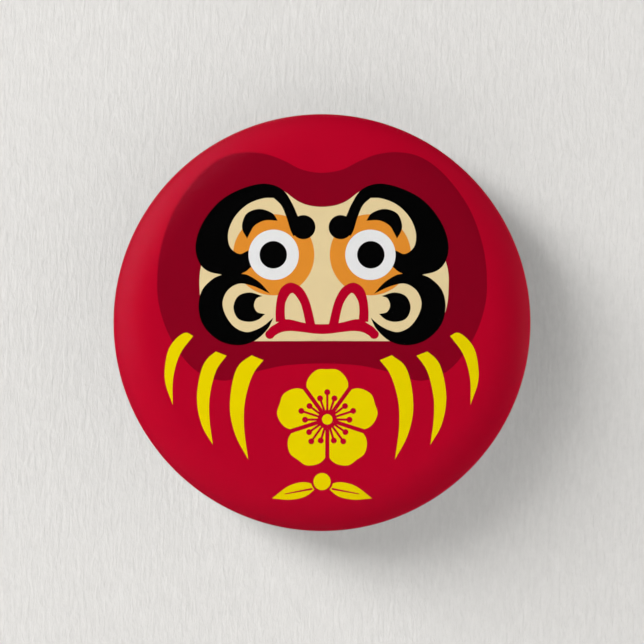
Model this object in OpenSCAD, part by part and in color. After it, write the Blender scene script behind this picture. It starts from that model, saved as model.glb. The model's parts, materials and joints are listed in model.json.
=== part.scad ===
// Round pin-back button badge: a domed tinplate shell, a printed paper disc under a clear film,
// a pressed-in back plate, and a bar-lock pin whose needle swings and whose barrel turns.
//
// The badge stands upright, as worn: its face looks along -Y, its back along +Y, and +Z is the
// top of the picture. The origin is the centre of the rear rim, the flat ring that lies on cloth.

/* [Badge] */
// Diameter over the film, at the widest line of the rim
badge_d = 32; // [31:0.5:38]
// Height of the rounded shoulder above the widest line
shoulder_h = 2.9; // [2.4:0.1:3.2]
// How far the rounded shoulder reaches in from the widest line
shoulder_w = 3.5; // [2.8:0.1:4]
// Slope of the domed face where it meets the shoulder, in degrees
dome_edge_deg = 4; // [2:0.5:6]
// Radius of the roll from the side of the rim to its rear
roll_r = 1.25; // [1.1:0.05:1.4]
// How far the tucked-in lip lies inside the widest line
lip_in = 2.3; // [2.2:0.1:2.6]
// Radius of the small roll where the rear rim turns into the lip
lip_roll_r = 0.6; // [0.55:0.05:0.8]
// Height of the tucked-in lip above the rear rim
lip_h = 1.4; // [1.2:0.05:1.6]

/* [Layers] */
// Thickness of the clear film
film_t = 0.06; // [0.04:0.01:0.08]
// Thickness of the printed paper
paper_t = 0.11; // [0.08:0.01:0.12]
// Thickness of the tinplate shell
shell_t = 0.25; // [0.2:0.01:0.26]
// Gap between one layer and the next
layer_gap = 0.02; // [0.01:0.01:0.02]

/* [Back plate] */
// Thickness of the tinplate back plate
plate_t = 0.25; // [0.2:0.01:0.3]
// Depth of the plate's raised middle below the rear rim
pad_depth = 0.3; // [0.2:0.05:0.4]
// Depth of the groove round the raised middle below the rear rim
groove_depth = 0.7; // [0.6:0.05:0.8]
// Width of the groove, out to the plate's upturned edge
groove_w = 1.1; // [0.9:0.1:1.4]
// Clearance between the plate and the tucked-in lip
plate_gap = 0.05; // [0.03:0.01:0.1]
// How far the plate's flange reaches out behind the lip
flange_w = 1.3; // [1:0.1:1.4]

/* [Bar] */
// Length of the bar
bar_len = 22; // [20:0.5:23]
// Width of the bar
bar_w = 5; // [4:0.1:5.4]
// Thickness of the bar and its ears
bar_t = 0.5; // [0.4:0.05:0.6]
// Height of the bar's centre line above the middle of the badge
bar_up = 2.5; // [0:0.1:2.8]
// Distance from the middle of the bar to the hinge
hinge_out = 8.6; // [8:0.1:9]
// Inner gap between the two hinge ears
ear_gap = 1.3; // [1.2:0.05:1.5]
// Radius of the round top of each ear
ear_r = 1.05; // [1:0.01:1.08]

/* [Needle] */
// Diameter of the needle's wire
needle_d = 0.7; // [0.6:0.05:0.8]
// Height of the needle's axis above the bar
needle_h = 2.1; // [2:0.05:2.4]
// Length of the tapered point
point_len = 4.3; // [4.3:0.1:6]
// Outer radius of the eye that turns on the rivet
eye_r = 1; // [0.9:0.05:1.1]
// Radius of the rivet's shank
rivet_r = 0.45; // [0.4:0.01:0.5]
// Running clearance in the eye and round the lock barrel
running_gap = 0.05; // [0.03:0.01:0.08]

/* [Lock] */
// Distance from the middle of the bar to the middle of the catch
catch_out = 7.75; // [7.2:0.05:8]
// Length of the catch along the needle
catch_len = 2.4; // [2:0.1:2.6]
// Radius of the bore that holds the lock barrel
catch_bore_r = 1.25; // [1.2:0.05:1.3]
// Wall of the catch
catch_wall = 0.45; // [0.4:0.05:0.5]
// Width of the slot that lets the needle in
slot_w = 1.1; // [1:0.05:1.2]
// Length of the barrel's lever, from its axis
lever_len = 3; // [2.6:0.1:3.4]
// Width of the lever
lever_w = 1.3; // [1:0.1:1.5]
// Angle from the slot to the lever, in degrees
lever_deg = 75; // [70:1:80]

/* [Hidden] */
$fn = 96;

tinplate = [0.78, 0.79, 0.8];
steel = [0.72, 0.73, 0.75];

// Depth of each layer's outer face below the film's outer face
paper_depth = film_t + layer_gap;
shell_depth = paper_depth + paper_t + layer_gap;

// The rim's profile is in radius and height above the rear rim
badge_r = badge_d / 2;
lip_r = badge_r - lip_in;
shoulder_start = atan(shoulder_w / shoulder_h * tan(dome_edge_deg));
dome_edge_r = badge_r - shoulder_w + shoulder_w * sin(shoulder_start);
dome_edge_z = roll_r + shoulder_h * cos(shoulder_start);
dome_r = dome_edge_r / sin(dome_edge_deg);
dome_centre_z = dome_edge_z - dome_r * cos(dome_edge_deg);

// The back plate's outline, in radius and height above the rear rim
plate_r = lip_r - plate_gap;
pad_r = plate_r - plate_t - groove_w;
plate_flange_z = lip_h + plate_gap;
plate_bend_r = 0.35;

// The pin is built in the bar's own frame: x along the bar, z away from the plate
needle_z = bar_t + needle_h;
needle_r = needle_d / 2;
point_x = 10.2;
ear_outer_y = ear_gap / 2 + bar_t;
eye_t = ear_gap - 0.2;
rivet_head_r = 0.8;
rivet_head_t = 0.35;
barrel_r = catch_bore_r - running_gap;
barrel_bore_r = slot_w / 2;
barrel_flange_r = catch_bore_r + 0.4;
barrel_flange_t = 0.45;
catch_x = [catch_out - catch_len / 2, catch_out + catch_len / 2];
barrel_x = [catch_x[0] - running_gap - barrel_flange_t, catch_x[1] + running_gap + barrel_flange_t];
catch_foot_w = 1.7;

// Points on an elliptical bend, set in by a depth. Angles run from straight up, outwards.
function bend(centre, w, h, from, to, depth, steps) = [
    for (i = [0 : steps])
        let (t = from + (to - from) * i / steps,
             n = [sin(t) / w, cos(t) / h])
        centre + [w * sin(t), h * cos(t)] - depth * n / norm(n)
];

// One face of a wrapped layer, from the middle of the dome round the rim to the end of the lip
function wrap_face(depth) = concat(
    bend([0, dome_centre_z], dome_r, dome_r, 0, dome_edge_deg, depth, 8),
    bend([badge_r - shoulder_w, roll_r], shoulder_w, shoulder_h, shoulder_start, 90, depth, 16),
    bend([badge_r - roll_r, roll_r], roll_r, roll_r, 96, 180, depth, 10),
    bend([lip_r + lip_roll_r, lip_roll_r], lip_roll_r, lip_roll_r, 180, 270, depth, 6),
    [[lip_r + depth, lip_h]]
);

function reversed(points) = [for (i = [len(points) - 1 : -1 : 0]) points[i]];

// Turns a part made face up so that its face looks along -Y
module face_forward() {
    rotate([90, 0, 0]) children();
}

// Places a part of the pin, made with z away from the plate, on the back of the badge
module on_plate() {
    translate([0, -pad_depth, bar_up]) rotate([-90, 0, 0]) children();
}

module rod_x(x, r) {
    translate([x[0], 0, needle_z]) rotate([0, 90, 0]) cylinder(h = x[1] - x[0], r = r);
}

module rod_y(y, r) {
    translate([-hinge_out, y[0], needle_z]) rotate([-90, 0, 0]) cylinder(h = y[1] - y[0], r = r);
}

// A layer that covers the face and wraps round the rim
module wrapped_layer(depth, thickness) {
    face_forward() rotate_extrude()
        polygon(concat(wrap_face(depth), reversed(wrap_face(depth + thickness))));
}

module clear_film() {
    color([0.93, 0.95, 0.97, 0.3]) wrapped_layer(0, film_t);
}

module printed_paper() {
    color([0.69, 0.02, 0.14]) wrapped_layer(paper_depth, paper_t);
}

module front_shell() {
    color(tinplate) wrapped_layer(shell_depth, shell_t);
}

// A dished plate: raised middle, groove, upturned edge, and a flange over the tucked-in lip
module back_plate() {
    corner = [plate_r - plate_bend_r, groove_depth + plate_bend_r];
    inner_bend_r = plate_bend_r - plate_t;
    rear = concat(
        [[0, pad_depth], [pad_r - 0.4, pad_depth], [pad_r, groove_depth]],
        reversed(bend(corner, plate_bend_r, plate_bend_r, 90, 180, 0, 6)),
        [[plate_r, plate_flange_z], [plate_r + flange_w, plate_flange_z]]
    );
    front = concat(
        [[0, pad_depth + plate_t], [pad_r - 0.5, pad_depth + plate_t], [pad_r - 0.1, groove_depth + plate_t]],
        reversed(bend(corner, inner_bend_r, inner_bend_r, 90, 180, 0, 6)),
        [[plate_r - plate_t, plate_flange_z + plate_t], [plate_r + flange_w, plate_flange_z + plate_t]]
    );
    color(tinplate) face_forward() rotate_extrude() polygon(concat(rear, reversed(front)));
}

module bar_base() {
    end_x = bar_len / 2 - bar_w / 2;
    for (x = [-end_x, end_x]) translate([x, 0, 0]) cylinder(h = bar_t, r = bar_w / 2);
    translate([-end_x, -bar_w / 2, 0]) cube([2 * end_x, bar_w, bar_t]);
}

module hinge_ear(y) {
    rod_y([y, y + bar_t], ear_r);
    translate([-hinge_out - ear_r, y, 0]) cube([2 * ear_r, bar_t, needle_z]);
}

module catch_ring() {
    rod_x(catch_x, catch_bore_r + catch_wall);
    translate([catch_x[0], -catch_foot_w / 2, 0])
        cube([catch_len, catch_foot_w, needle_z - catch_bore_r - catch_wall / 2]);
}

// Opens the slot above the needle's axis
module needle_slot(x) {
    translate([x[0], -slot_w / 2, needle_z]) cube([x[1] - x[0], slot_w, barrel_flange_r + 1]);
}

module pin_bar() {
    clear_x = [catch_x[0] - 0.1, catch_x[1] + 0.1];
    color(steel) on_plate() difference() {
        union() {
            bar_base();
            hinge_ear(-ear_outer_y);
            hinge_ear(ear_gap / 2);
            catch_ring();
        }
        rod_y([-ear_outer_y - 0.1, ear_outer_y + 0.1], rivet_r + layer_gap);
        rod_x(clear_x, catch_bore_r);
        needle_slot(clear_x);
    }
}

module hinge_rivet() {
    color(steel) on_plate() {
        rod_y([-ear_outer_y - rivet_head_t, ear_outer_y + rivet_head_t], rivet_r);
        rod_y([-ear_outer_y - rivet_head_t, -ear_outer_y], rivet_head_r);
        rod_y([ear_outer_y, ear_outer_y + rivet_head_t], rivet_head_r);
    }
}

module needle() {
    color(steel) on_plate() difference() {
        union() {
            rod_y([-eye_t / 2, eye_t / 2], eye_r);
            rod_x([-hinge_out, point_x - point_len], needle_r);
            translate([point_x - point_len, 0, needle_z]) rotate([0, 90, 0])
                cylinder(h = point_len, r1 = needle_r, r2 = 0.05);
        }
        rod_y([-eye_t, eye_t], rivet_r + running_gap);
    }
}

module lock_barrel() {
    inner_flange_x = [barrel_x[0], barrel_x[0] + barrel_flange_t];
    outer_flange_x = [barrel_x[1] - barrel_flange_t, barrel_x[1]];
    clear_x = [barrel_x[0] - 0.1, barrel_x[1] + 0.1];
    color(steel) on_plate() difference() {
        union() {
            rod_x(barrel_x, barrel_r);
            rod_x(inner_flange_x, barrel_flange_r);
            rod_x(outer_flange_x, barrel_flange_r);
            translate([outer_flange_x[0], 0, needle_z]) rotate([-lever_deg, 0, 0]) {
                translate([0, -lever_w / 2, 0])
                    cube([barrel_flange_t, lever_w, lever_len - lever_w / 2]);
                translate([0, 0, lever_len - lever_w / 2]) rotate([0, 90, 0])
                    cylinder(h = barrel_flange_t, r = lever_w / 2);
            }
        }
        rod_x(clear_x, barrel_bore_r);
        needle_slot(clear_x);
    }
}

clear_film();
printed_paper();
front_shell();
back_plate();
pin_bar();
hinge_rivet();
needle();
lock_barrel();
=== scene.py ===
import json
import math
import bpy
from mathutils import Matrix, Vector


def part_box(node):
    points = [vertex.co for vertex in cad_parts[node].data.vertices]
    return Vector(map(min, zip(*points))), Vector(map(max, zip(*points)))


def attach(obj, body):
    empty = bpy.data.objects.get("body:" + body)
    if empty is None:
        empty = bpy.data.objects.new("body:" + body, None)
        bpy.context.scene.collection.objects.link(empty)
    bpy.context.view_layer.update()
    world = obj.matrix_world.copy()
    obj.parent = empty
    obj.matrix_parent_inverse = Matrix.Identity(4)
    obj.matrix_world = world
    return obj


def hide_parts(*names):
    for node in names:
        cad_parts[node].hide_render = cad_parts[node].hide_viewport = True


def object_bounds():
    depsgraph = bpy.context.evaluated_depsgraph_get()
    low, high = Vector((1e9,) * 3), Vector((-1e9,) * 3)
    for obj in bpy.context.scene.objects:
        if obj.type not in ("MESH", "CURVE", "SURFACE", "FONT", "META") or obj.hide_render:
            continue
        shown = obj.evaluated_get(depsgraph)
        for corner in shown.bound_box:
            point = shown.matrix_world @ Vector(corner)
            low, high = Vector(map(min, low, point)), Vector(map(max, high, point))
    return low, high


bl_info = {
    "name": "Pin-back Badge",
    "version": (1, 0, 0),
    "blender": (4, 5, 0),
    "location": "View3D > Sidebar > Badge",
    "description": "Round tinplate badge with a printed paper face, a clear film and a bar-lock pin",
    "category": "Object",
}

import bmesh
import bpy
import numpy as np
from bpy.props import FloatProperty, FloatVectorProperty, IntProperty, PointerProperty
from mathutils import Matrix, Vector
from mathutils.geometry import delaunay_2d_cdt

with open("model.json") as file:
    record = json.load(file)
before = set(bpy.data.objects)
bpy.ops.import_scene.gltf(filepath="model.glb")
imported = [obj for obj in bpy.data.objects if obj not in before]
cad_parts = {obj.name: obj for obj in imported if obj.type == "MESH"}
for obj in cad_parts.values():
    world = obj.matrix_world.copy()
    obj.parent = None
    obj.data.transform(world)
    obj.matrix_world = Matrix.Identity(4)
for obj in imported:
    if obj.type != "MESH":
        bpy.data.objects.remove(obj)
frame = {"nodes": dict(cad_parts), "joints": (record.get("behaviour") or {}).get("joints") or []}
CAD_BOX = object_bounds()

# Shapes are drawn in millimetres and scaled to metres when a piece is finished.
MM = 0.001
TO_METRES = Matrix.Scale(MM, 4)
FACE_FORWARD = Matrix.Rotation(math.pi / 2, 4, "X")

HINGE = next(Vector(j["pos_m"]) for j in frame["joints"] if j["name"] == "needle_hinge") / MM
BAR_LOW, BAR_HIGH = (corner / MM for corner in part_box("pin_bar"))
LOCK_LOW, LOCK_HIGH = (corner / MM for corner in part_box("lock_barrel"))
NEEDLE_LOW, NEEDLE_HIGH = (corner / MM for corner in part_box("needle"))
RIVET_LOW, RIVET_HIGH = (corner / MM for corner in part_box("hinge_rivet"))

# The pin is drawn lying on the plate: x along the bar, z away from the plate.
ON_PLATE = Matrix.Translation((0, BAR_LOW.y, HINGE.z)) @ Matrix.Rotation(-math.pi / 2, 4, "X")
AXIS_Z = HINGE.y - BAR_LOW.y

# Points closer together than this are merged.
MERGE = 0.0005
# Places along the bar of the two weld dimples, and how deep they are.
WELDS = (-4.6, 3.4)
WELD_DEPTH = 0.13

# Strength of the film's gloss, and the most of it that a grazing view may show.
FILM_GLOSS = 0.1
FILM_LIMIT = 0.06
# Distance of every lamp from the badge, in metres.
LAMP_AWAY = 0.9
# Key lights: name, angle off the badge's axis, length and width, share of the strength.
KEYS = (("key_light", 60, (0.9, 0.38), 0.68), ("high_key", 46, (0.9, 0.28), 0.32))
# Spacing of the print's points on the dome and near the shoulder, and where the finer one starts.
COARSE, FINE, FINE_FROM = 0.42, 0.22, 0.75


def length(name, description, millimetres):
    return FloatProperty(name=name, description=description, default=millimetres * MM,
                         min=0.0, unit="LENGTH", precision=5)


def colour(name, description, red, green, blue):
    """A colour property whose default is given as an 8-bit display colour."""
    def linear(level):
        level /= 255
        return level / 12.92 if level <= 0.04045 else ((level + 0.055) / 1.055) ** 2.4
    return FloatVectorProperty(name=name, description=description, subtype="COLOR", size=3,
                               min=0.0, max=1.0, default=[linear(v) for v in (red, green, blue)])


class BadgeShape(bpy.types.PropertyGroup):
    """Sizes of the face, the rim and the back plate."""
    shoulder_h: length("Shoulder Height", "Height of the rounded shoulder above the widest line", 2.9)
    shoulder_w: length("Shoulder Width", "How far the shoulder reaches in from the widest line", 3.5)
    edge_slope: FloatProperty(name="Edge Slope", description="Slope of the dome where it meets the shoulder",
                              default=math.radians(4), subtype="ANGLE")
    roll_r: length("Rear Roll", "Radius of the roll from the side of the rim to its rear", 1.25)
    lip_in: length("Lip Inset", "How far the tucked-in lip lies inside the widest line", 2.3)
    lip_roll_r: length("Lip Roll", "Radius of the roll where the rear rim turns into the lip", 0.6)
    lip_h: length("Lip Height", "Height of the tucked-in lip above the rear rim", 1.4)
    film_t: length("Film", "Thickness of the clear film", 0.06)
    paper_t: length("Paper", "Thickness of the printed paper", 0.11)
    layer_gap: length("Layer Gap", "Gap between one layer and the next", 0.02)
    plate_t: length("Plate", "Thickness of the back plate", 0.25)
    groove_depth: length("Groove", "Depth of the groove round the plate's raised middle", 0.7)
    groove_w: length("Groove Width", "Width of the groove out to the plate's upturned edge", 1.1)
    plate_gap: length("Plate Gap", "Clearance between the plate and the lip", 0.05)
    flange_w: length("Flange", "How far the plate's flange reaches out behind the lip", 1.3)
    segments: IntProperty(name="Segments", description="Steps round the rim", default=256, min=48, max=360)
    pleats: FloatProperty(name="Pleats", description="How many pleats the tucked film has, roughly",
                          default=44, min=0)
    pleat_h: length("Pleat Height", "How far a pleat of the tucked film stands out", 0.045)


class BadgePrint(bpy.types.PropertyGroup):
    """Inks and placing of the printed picture."""
    scale: FloatProperty(name="Print Scale", description="Size of the picture against the badge",
                         default=0.9885, min=0.5, max=1.1)
    shift: FloatProperty(name="Print Shift", description="How far the picture lies to the right, in "
                         "hundredths of the badge's radius", default=0.02)
    rise: FloatProperty(name="Print Rise", description="How far the picture lies above the middle, in "
                        "hundredths of the badge's radius", default=0.29)
    ground: colour("Ground", "Red ground of the print", 182, 4, 38)
    hood: colour("Hood", "Dark red hood round the face", 135, 3, 29)
    skin: colour("Face", "Cream of the face", 230, 208, 159)
    amber: colour("Amber", "Orange round the eyes", 227, 142, 46)
    white: colour("Eye White", "White of the eyes", 232, 232, 232)
    lip: colour("Lip Red", "Red of the nose and mouth lines", 180, 2, 38)
    gold: colour("Yellow", "Yellow of the stripes, the blossom and the leaves", 234, 211, 0)
    black: colour("Black", "Black of the brows, whiskers and pupils", 3, 3, 3)
    bare: colour("Bare Paper", "White of the paper's back and cut edge", 228, 226, 220)


class BadgePin(bpy.types.PropertyGroup):
    """Sizes of the bar, the needle and the lock."""
    bar_t: length("Bar", "Thickness of the bar and its ears", 0.5)
    ear_gap: length("Ear Gap", "Inner gap between the two hinge ears", 1.3)
    ear_r: length("Ear Round", "Radius of the round top of each ear", 1.05)
    needle_r: length("Needle", "Radius of the needle's wire", 0.35)
    point_len: length("Point", "Length of the tapered point", 4.3)
    eye_r: length("Eye", "Outer radius of the needle's eye", 1.0)
    rivet_r: length("Rivet", "Radius of the rivet's shank", 0.45)
    head_t: length("Rivet Head", "Height of a rivet head", 0.35)
    running_gap: length("Running Gap", "Clearance in the eye and round the barrel", 0.05)
    catch_bore_r: length("Catch Bore", "Radius of the bore that holds the barrel", 1.25)
    catch_wall: length("Catch Wall", "Wall of the catch", 0.45)
    foot_w: length("Catch Foot", "Width of the catch's foot", 1.7)
    slot_w: length("Slot", "Width of the slot that lets the needle in", 1.1)
    flange_r: length("Barrel Flange", "Radius of the barrel's two flanges", 1.65)
    flange_t: length("Flange Thickness", "Thickness of each barrel flange", 0.45)
    lever_len: length("Lever", "Length of the lever from the barrel's axis", 3.0)
    lever_w: length("Lever Width", "Width of the lever", 1.3)
    lever_angle: FloatProperty(name="Lever Angle", description="Angle from the slot to the lever",
                               default=math.radians(75), subtype="ANGLE")
    edge: length("Edge", "Rounding of the pressed parts' edges", 0.07)
    plating: colour("Plating", "Bright plating of the pressed parts", 205, 206, 208)
    tin: colour("Tin", "Bright tinplate of the shell and the back plate", 212, 213, 214)
    wire: colour("Wire", "Drawn steel of the needle", 190, 192, 196)


class BadgeStage(bpy.types.PropertyGroup):
    """Paper card, floor, lights and camera."""
    card_size: length("Card", "Width and height of the paper card behind the badge", 180)
    card_gap: length("Card Gap", "Gap between the back of the pin and the card", 0.05)
    card: colour("Card Colour", "Colour of the paper card", 229, 227, 224)
    view_w: length("View Width", "Width of the view at the badge's widest line", 49.2)
    view_dist: length("View Distance", "Distance of the camera from the widest line", 274)
    view_up: length("View Offset", "How far the camera stands above the badge's middle", 0.046)
    front: FloatProperty(name="Front Light", description="Strength of the room light from the front",
                         default=0.34)
    bounce: FloatProperty(name="Bounce", description="Strength of the light that comes back from the card "
                          "on the shaded side", default=1.95)
    key: FloatProperty(name="Key", description="Strength of the two soft key lights together", default=8.0)
    key_up: FloatProperty(name="Key Height", description="Angle of the key lights above the left",
                          default=math.radians(33), subtype="ANGLE")


def settings():
    return bpy.context.scene.badge


# ---------------------------------------------------------------- outlines

def smooth_run(points, steps=5):
    """Points on a smooth curve through a run of points, without its last point."""
    p = np.array(points, float)
    p = np.vstack([2 * p[0] - p[1], p, 2 * p[-1] - p[-2]])
    return catmull(p, steps)


def smooth_loop(points, steps=5):
    """Points on a smooth closed curve."""
    p = np.array(points, float)
    return np.array(catmull(np.vstack([p[-1], p, p[0], p[1]]), steps))


def catmull(p, steps):
    """Centripetal Catmull-Rom curve between the second and the last but one of the points."""
    out = []
    for a, b, c, d in zip(p, p[1:], p[2:], p[3:]):
        t1 = math.sqrt(math.dist(a, b))
        t2 = t1 + math.sqrt(math.dist(b, c))
        t3 = t2 + math.sqrt(math.dist(c, d))
        for k in range(steps):
            t = t1 + (t2 - t1) * k / steps
            ab = a + (b - a) * t / t1
            bc = b + (c - b) * (t - t1) / (t2 - t1)
            cd = c + (d - c) * (t - t2) / (t3 - t2)
            abc = ab + (bc - ab) * t / t2
            bcd = bc + (cd - bc) * (t - t1) / (t3 - t1)
            out.append(abc + (bcd - abc) * (t - t1) / (t2 - t1))
    return out


def outline(*runs):
    """Closed outline of smooth runs that meet at corners; the last corner closes with a straight line."""
    points = []
    for run in runs:
        points += smooth_run(run) if len(run) > 2 else [np.array(run[0], float)]
    points.append(np.array(runs[-1][-1], float))
    if math.dist(points[0], points[-1]) < 1e-6:
        points.pop()
    return np.array(points)


def disc(x, y, radius, count=48):
    turn = np.linspace(0, 2 * math.pi, count, endpoint=False)
    return np.column_stack([x + radius * np.cos(turn), y + radius * np.sin(turn)])


def line(start, end, width, tip=1.0):
    """A straight line with round ends, drawn to a tip width at its end."""
    start, end = np.array(start, float), np.array(end, float)
    heading = math.atan2(*(end - start)[::-1])
    halves = ((start, width / 2, heading + math.pi / 2), (end, width * tip / 2, heading - math.pi / 2))
    return np.array([centre + r * np.array([math.cos(a0 + t), math.sin(a0 + t)])
                     for centre, r, a0 in halves for t in np.linspace(0, math.pi, 8)])


def mirrored(points):
    """The same points on the other side of the picture's upright middle line, in reverse order."""
    return np.array(points, float)[::-1] * (-1, 1)


def across(half):
    """A run from the right side over the middle line to the left side, from its left half."""
    return np.vstack([mirrored(half)[:-1], half])


def turned_about(points, centre, angle):
    c, s = math.cos(angle), math.sin(angle)
    return (np.array(points, float) - centre) @ np.array([[c, s], [-s, c]]) + centre


# ---------------------------------------------------------------- the picture
# Points are in hundredths of the badge's radius, x to the right and y up, for the left half.

HOOD = [(0, 71.3), (-9.5, 72.8), (-18.2, 77.1), (-26.5, 80.2), (-35.7, 81.3), (-46.1, 79.5), (-56.6, 72.6),
        (-70, 55.3), (-77, 36), (-78.8, 21), (-78.1, 8.8), (-73, -6.6), (-62.7, -21.2), (-54.5, -26.3),
        (-46.1, -28), (-32.9, -24.1), (-20, -21.1), (-11.4, -20.2), (0, -19.8)]
FACE = [(0, 55), (-4, 55.3), (-8, 56.2), (-12, 58), (-20, 63.5), (-28, 64), (-45, 56), (-55, 42),
        (-57.8, 27.1), (-58.6, 20), (-57.7, 8), (-54, -3), (-48, -9.15)]
# The face is a little wider on its right side.
FACE_RIGHT = [(48, -9.15), (56.8, 0), (59.7, 8), (60.5, 17), (60.3, 24), (58.5, 31), (55, 42),
              (45, 56), (28, 64), (20, 63.5), (12, 58), (8, 56.2), (4, 55.3)]
EYE = (-23.1, 32.1)

BROW = (
    [(-11.8, 51.1), (-14.2, 56.5), (-18.8, 63.2), (-26.4, 66.1), (-36.8, 64.3), (-48.8, 57.8),
     (-57.8, 46), (-60.5, 35), (-58.1, 27.4), (-54.3, 24.2), (-47.9, 22.6)],
    [(-47.9, 22.6), (-38.6, 23.1)],
    [(-38.6, 23.1), (-36.3, 24.2), (-33.9, 26.3)],
    [(-33.9, 26.3), (-27, 30)],
    [(-27, 30), (-35.4, 34.1)],
    [(-35.4, 34.1), (-39.4, 32.5), (-43.8, 35.6), (-44.9, 42), (-42, 49.8), (-35.6, 56.2),
     (-28.1, 59.1), (-23.2, 59.3)],
    [(-23.2, 59.3), (-19.6, 55.9), (-17, 50.1), (-15, 43.7), (-13.6, 41)],
    [(-13.6, 41), (-8.9, 45.4)],
)
SMALL_BROW = (
    [(-35.8, 39.9), (-37.9, 43.7), (-38.2, 46.6), (-36, 51.8), (-29.9, 54), (-23.5, 51.8), (-21.2, 48.4)],
    [(-21.2, 48.4), (-27.5, 48.5), (-32.4, 45.9), (-34.2, 43), (-35.8, 39.9)],
)
WHISKER = (
    [(-24.8, 13.5), (-29.9, 19), (-35.7, 22.5), (-38.6, 23.1)],
    [(-38.6, 23.1), (-47.9, 22.6)],
    [(-47.9, 22.6), (-51.9, 20.8), (-57.2, 15.4), (-59, 8.5), (-57.9, 1), (-54.8, -4.2), (-48.5, -9.2),
     (-40.1, -11.1), (-32.2, -9), (-25.8, -3.1), (-23.2, 2.1)],
    [(-23.2, 2.1), (-27.6, -1.6), (-32, -3.9), (-36.3, -4.8), (-41.8, -2.4), (-46.3, 3.8), (-47.5, 9.4),
     (-45, 15.2), (-39.7, 18.3), (-33.3, 17.3), (-24.8, 13.5)],
)
CRESCENT = (
    [(-28.5, 12.4), (-34.5, 14.1), (-40, 12.4), (-42.3, 7.1), (-40.2, 1.7), (-35.1, 0.1), (-30.5, 1.1),
     (-27.2, 3.8)],
    [(-27.2, 3.8), (-31, 4.8), (-32.5, 7.8), (-31.2, 11.3), (-28.5, 12.4)],
)
NOSTRIL = ([(-22.1, 0.1), (-22.2, 4.8), (-21.7, 10), (-20.7, 14), (-18.8, 17), (-15, 18.8), (-10.5, 17),
            (-8, 14), (-6.1, 10), (-4.9, 6), (-3.3, -1)],)
NOSTRIL_HOLE = ([(-17.6, 1.4), (-17.8, 6), (-17.2, 10), (-14.3, 13.9), (-10.8, 10), (-9.3, 6), (-7.9, -0.5)],)
MOUTH_TOP = [(0, -1.1), (-8, -0.5), (-17.6, 1.3), (-22.4, -1.1), (-24.6, -2.5), (-26.6, -4.8)]
MOUTH_BOTTOM = [(0, -5.7), (-4, -5.5), (-9.4, -4.8), (-15.4, -4.3), (-19.4, -4.9), (-22.4, -6.5),
                (-23.7, -7.9)]
STRIPES = (
    ([(-61.4, -6.6), (-64.7, -5), (-68.5, -6.9), (-73, -12.7), (-75, -22.5), (-74.7, -29.1),
      (-71.2, -39.5)],
     [(-71.2, -39.5), (-71, -26.9), (-67.7, -15.3), (-61.4, -6.6)]),
    ([(-50.5, -14), (-45.4, -16)],
     [(-45.4, -16), (-50.2, -22.8), (-53.5, -35.6), (-53.6, -46.1), (-52, -58.6)],
     [(-52, -58.6), (-57.2, -49.4), (-59.6, -36.2), (-57, -21.5), (-54.2, -17),
      (-50.5, -14)]),
    ([(-33.5, -15.8), (-27.8, -18.1)],
     [(-27.8, -18.1), (-32.6, -24.5), (-36.5, -37), (-37.1, -49.4), (-35.1, -65.6)],
     [(-35.1, -65.6), (-41, -54.4), (-43.8, -41.8), (-41.9, -25.8), (-39.1, -20),
      (-33.5, -15.8)]),
)

# The left stripes stand a little further out than drawn, the right ones a little further in, and
# both stand lower.
LEFT_STRIPES_MOVE = (-0.2, -0.1)
RIGHT_STRIPES_MOVE = (-0.24, -0.1)
BLOSSOM = (2.5, -46.5)
LEAF = (
    [(-2, -78.5), (-8, -76.6), (-15.5, -78.2), (-24, -84.4)],
    [(-24, -84.4), (-15, -85), (-7.5, -83.2), (-2, -78.5)],
)


def blossom():
    """Five round petals with red gaps and stamens: (ink, outline) pairs in painting order."""
    cx, cy = BLOSSOM
    petals, gaps, stamens = [], [], []
    for k in range(5):
        turn = 2 * math.pi * k / 5
        petal = smooth_loop([(cx - 2.6, cy + 2.5), (cx - 9.2, cy + 12), (cx - 9.6, cy + 18.5),
                             (cx - 5, cy + 23.6), (cx, cy + 23.9), (cx + 5, cy + 23.6),
                             (cx + 9.6, cy + 18.5), (cx + 9.2, cy + 12), (cx + 2.6, cy + 2.5)])
        petals.append(("gold", turned_about(petal, BLOSSOM, turn)))
        gap = line((cx, cy + 3), (cx, cy + 20.5), 1.9, 1.1)
        gaps.append(("ground", turned_about(gap, BLOSSOM, turn + math.pi / 5)))
        for lean, reach in ((-0.33, 10.6), (0, 13), (0.33, 10.6)):
            stem = line((cx, cy + 3), (cx, cy + reach), 1.1)
            bead = disc(cx, cy + reach, 1.45, 16)
            stamens += [("ground", turned_about(part, BLOSSOM, turn + lean)) for part in (stem, bead)]
    heart = [("ground", disc(cx, cy, 4.6)), ("gold", disc(cx, cy, 2.5, 24))]
    return petals + gaps + stamens + heart


def sprig():
    """Two leaves and a round bud under the blossom."""
    shapes = []
    for flip in (False, True):
        leaf, rib = outline(*LEAF), line((-5, -79.8), (-17.5, -82.2), 1.0, 0.5)
        shapes += [("gold", mirrored(leaf) if flip else leaf), ("ground", mirrored(rib) if flip else rib)]
    return shapes + [("ground", disc(0, -76.3, 5.2)), ("gold", disc(0, -76.3, 4.1, 32))]


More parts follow.
